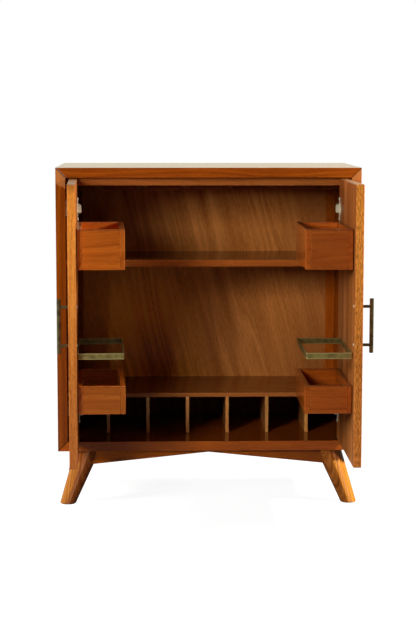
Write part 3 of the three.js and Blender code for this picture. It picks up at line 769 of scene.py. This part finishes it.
# A pan head in shares of its radius: its rise, its flank's part of the rise, and its recess
HEAD_RISE_SHARE = 0.45
FLANK_SHARE = 0.35
CROSS_ARM_SHARE = 0.14
CROSS_REACH_SHARE = 0.62
CROSS_DEPTH_SHARE = 0.55
HEAD_SIDES = 32
HEAD_RINGS = 10
# How far the first head's cross is turned, and each next one's beyond it, in radians
FIRST_SPIN = 0.5
NEXT_SPIN = 1.1


def add_screw(maker, centre, out, radius, spin):
    """A pan head with a cross recess, its underside on the face that it holds."""
    rise = HEAD_RISE_SHARE * radius
    turn = Vector(out).to_track_quat("Z", "Y").to_matrix().to_4x4()
    place = Matrix.Translation(centre) @ turn @ Matrix.Rotation(spin, 4, "Z")
    angles = [2 * math.pi * k / HEAD_SIDES for k in range(HEAD_SIDES)]
    rows = []
    for i in range(1, HEAD_RINGS + 1):
        reach = radius * i / HEAD_RINGS
        curve = math.sqrt(max(0.0, 1 - (reach / radius) ** 2.6))
        dome = rise * (FLANK_SHARE + (1 - FLANK_SHARE) * curve)
        row = []
        for angle in angles:
            x, y = reach * math.cos(angle), reach * math.sin(angle)
            arm = min(abs(x), abs(y)) / radius
            in_reach = reach < CROSS_REACH_SHARE * radius
            cut = min(1.0, 2 * max(0.0, 1 - arm / CROSS_ARM_SHARE)) if in_reach else 0.0
            row.append(maker.verts.new(place @ Vector((x, y, dome - rise * CROSS_DEPTH_SHARE * cut))))
        rows.append(row)
    foot = [Vector((radius * math.cos(angle), radius * math.sin(angle), 0)) for angle in angles]
    rows.append([maker.verts.new(place @ point) for point in foot])
    for inner, outer in zip(rows, rows[1:]):
        for k in range(HEAD_SIDES):
            n = (k + 1) % HEAD_SIDES
            maker.faces.new((inner[k], outer[k], outer[n], inner[n]))
    middle = maker.verts.new(place @ Vector((0, 0, rise * (1 - CROSS_DEPTH_SHARE))))
    for k in range(HEAD_SIDES):
        maker.faces.new((middle, rows[0][k], rows[0][(k + 1) % HEAD_SIDES]))
    maker.faces.new(reversed(rows[-1]))


def screws(name, body, heads, radius, material):
    """One piece of like screw heads: each head is a place and the way that it looks."""
    maker = bmesh.new()
    for i, (centre, out) in enumerate(heads):
        add_screw(maker, centre, out, radius, FIRST_SPIN + NEXT_SPIN * i)
    mesh = bpy.data.meshes.new(name)
    for face in maker.faces:
        face.smooth = True
    maker.to_mesh(mesh)
    maker.free()
    mesh.materials.append(material)
    piece = bpy.data.objects.new(name, mesh)
    scene.collection.objects.link(piece)
    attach(piece, body)


# What lies between a door's outer face and its screws' heads, and the heads' heights
DOOR_THICKNESS = 0.022
SEAT_GAP = 0.0003
HINGE_FLANGE = 0.002
BOX_WALL = 0.013
RING_BAR = 0.003
HINGE_HEIGHTS = (0.849, 0.270)
HINGE_SCREW_RISE = 0.0283
FLANGE_HEIGHTS = [height + way * HINGE_SCREW_RISE for height in HINGE_HEIGHTS for way in (-1, 1)]
HANDLE_HEIGHTS = (0.5115, 0.6135)
BOX_HEIGHTS = (0.7985, 0.383)

# Each kind: its name, slot and material, its heads' heights, how far they are across from the door's
# hinged edge and deep from its outer face, and their radius
SEAT = DOOR_THICKNESS + SEAT_GAP
DOOR_SCREWS = [
    ("hinge_screws_door_", "hinge_nickel", NICKEL, FLANGE_HEIGHTS, (0.022,), SEAT + HINGE_FLANGE, 0.0034),
    ("handle_screws_", "hinge_nickel", NICKEL, HANDLE_HEIGHTS, (0.3815,), DOOR_THICKNESS, 0.0042),
    ("box_screws_", "aged_bronze", BRONZE, BOX_HEIGHTS, (0.187, 0.257), SEAT + BOX_WALL, 0.0038),
    ("ring_screws_", "aged_bronze", BRONZE, (RING_MIDDLE,), (0.125, 0.318), SEAT + RING_BAR, 0.0034),
]
for side in OPEN:
    inward = door_inward(side)
    for kind, slot, material, heights, places, deep, radius in DOOR_SCREWS:
        spots = [(across, height) for height in heights for across in places]
        heads = [(door_point(side, across, deep, height), inward) for across, height in spots]
        screws(kind + side, side + "_door", heads, radius, material)

# The back panel's screws: five along its top and bottom, and three between them on either side
PANEL_SCREW_INSET = 0.012
PANEL_SCREW_RADIUS = 0.0038
PANEL_SPACES = 4


def panel_heads():
    panel_low, panel_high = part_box("back_panel")
    left, right = panel_low[0] + PANEL_SCREW_INSET, panel_high[0] - PANEL_SCREW_INSET
    foot, top = panel_low[2] + PANEL_SCREW_INSET, panel_high[2] - PANEL_SCREW_INSET
    places = []
    for i in range(PANEL_SPACES + 1):
        x = left + (right - left) * i / PANEL_SPACES
        places += [(x, foot), (x, top)]
    for i in range(1, PANEL_SPACES):
        z = foot + (top - foot) * i / PANEL_SPACES
        places += [(left, z), (right, z)]
    return [(Vector((x, panel_high[1], z)), Vector((0, 1, 0))) for x, z in places]


screws("back_panel_screws", "case", panel_heads(), PANEL_SCREW_RADIUS, NICKEL)

# Stage: a pale floor, white all round, and soft lamps on either side, ahead and behind
FLOOR_RADIUS = 14
GRIT_SCALE = (90, 90, 90)
PAPER_DARK = (0.1, 0.1, 0.1, 1)
PAPER_PALE = (0.12, 0.12, 0.12, 1)
PAPER_BELOW = (0.24, 0.24, 0.24, 1)
PAPER_CHANGE = (0.5, 0.9)
GLOW_CHANGE = (0.6, 2.2)
GLOW_LEVELS = (0.92, 1.0)
MIRRORED_CHANGE = (0.3, 1.6)
MIRRORED_LEVELS = (0.06, 1.0)


def mirrored_ray(net, path):
    """1 for a ray that comes from a mirror image or through glass."""
    return net.math("MAXIMUM", path["Is Glossy Ray"], path["Is Transmission Ray"])


def stage_floor():
    mesh = bpy.data.meshes.new("floor")
    maker = bmesh.new()
    bmesh.ops.create_circle(maker, cap_ends=True, segments=64, radius=FLOOR_RADIUS)
    maker.to_mesh(mesh)
    maker.free()
    floor = bpy.data.objects.new("floor", mesh)
    scene.collection.objects.link(floor)
    material, net, shader = new_material("floor")
    net.tree.nodes.remove(shader)
    place = net.add("TexCoord").outputs["Object"]
    away = net.add("VectorMath", {0: place}, operation="LENGTH").outputs["Value"]
    paper = net.mix(net.noise(place, GRIT_SCALE).outputs[0], PAPER_DARK, PAPER_PALE)
    paper = net.mix(net.span(away, *PAPER_CHANGE), PAPER_BELOW, paper)
    diffuse = net.add("BsdfDiffuse", {"Color": paper})
    path = net.add("LightPath").outputs
    behind = net.span(net.parts(place)[1], *MIRRORED_CHANGE, *MIRRORED_LEVELS)
    mirrored = net.math("MULTIPLY", mirrored_ray(net, path), behind)
    seen = net.math("MAXIMUM", path["Is Camera Ray"], mirrored)
    strength = net.math("MULTIPLY", seen, net.span(away, *GLOW_CHANGE, *GLOW_LEVELS))
    glow = net.add("Emission", {"Color": (1, 1, 1, 1), "Strength": strength})
    both = net.add("AddShader", {0: diffuse.outputs[0], 1: glow.outputs[0]})
    net.join(both.outputs[0], net.tree.nodes["Material Output"].inputs["Surface"])
    mesh.materials.append(material)


# How bright the world is to the object and in mirror images of what is ahead, and how far to a side
# and to the rear a mirror image looks where it is white
AMBIENT = 0.04
AHEAD = 0.06
ASIDE_CHANGE = (0.55, 0.9)
REAR_CHANGE = (0.1, 0.7)
WARM_MIRRORED = (1.0, 1.0, 0.8, 1)


def world_light():
    world = bpy.data.worlds.new("studio")
    scene.world = world
    world.use_nodes = True
    net = Net(world.node_tree)
    back = net.tree.nodes["Background"]
    path = net.add("LightPath").outputs
    net.join(net.mix(path["Is Glossy Ray"], (1, 1, 1, 1), WARM_MIRRORED), back.inputs["Color"])
    aside, rear, _ = net.parts(net.add("TexCoord").outputs["Generated"])
    beside = net.span(net.math("ABSOLUTE", aside), *ASIDE_CHANGE, AHEAD, 1.0)
    pale = net.math("MAXIMUM", beside, net.span(rear, *REAR_CHANGE, AHEAD, 1.0))
    mirrored = net.math("MULTIPLY", mirrored_ray(net, path), pale)
    seen = net.math("MAXIMUM", path["Is Camera Ray"], mirrored)
    net.join(net.math("MAXIMUM", seen, AMBIENT), back.inputs["Strength"])


# Azimuth and elevation in degrees, distance, width and height in metres, and watts
LAMPS = {
    "softbox_left": (-70, 16, 2.0, 0.4, 0.4, 24),
    "softbox_right": (75, 28, 2.0, 0.3, 0.3, 69),
    "softbox_front": (-27, 17, 3.0, 0.6, 0.8, 49),
    "softbox_rear_left": (-145, 30, 2.6, 0.8, 0.8, 30),
    "softbox_rear_right": (150, 30, 2.6, 0.8, 0.8, 30),
}
LAMP_TARGET = Vector((0, 0, 0.55))


def lamp(name, azimuth, elevation, distance, width, height, watts):
    data = bpy.data.lights.new(name, "AREA")
    data.shape = "RECTANGLE"
    data.size = width
    data.size_y = height
    data.energy = watts
    light = bpy.data.objects.new(name, data)
    a, e = math.radians(azimuth), math.radians(elevation)
    away = Vector((math.sin(a) * math.cos(e), -math.cos(a) * math.cos(e), math.sin(e)))
    light.location = LAMP_TARGET + away * distance
    light.rotation_mode = "QUATERNION"
    light.rotation_quaternion = away.to_track_quat("Z", "Y")
    light.visible_camera = False
    light.visible_glossy = False
    scene.collection.objects.link(light)


stage_floor()
world_light()
for name, values in LAMPS.items():
    lamp(name, *values)
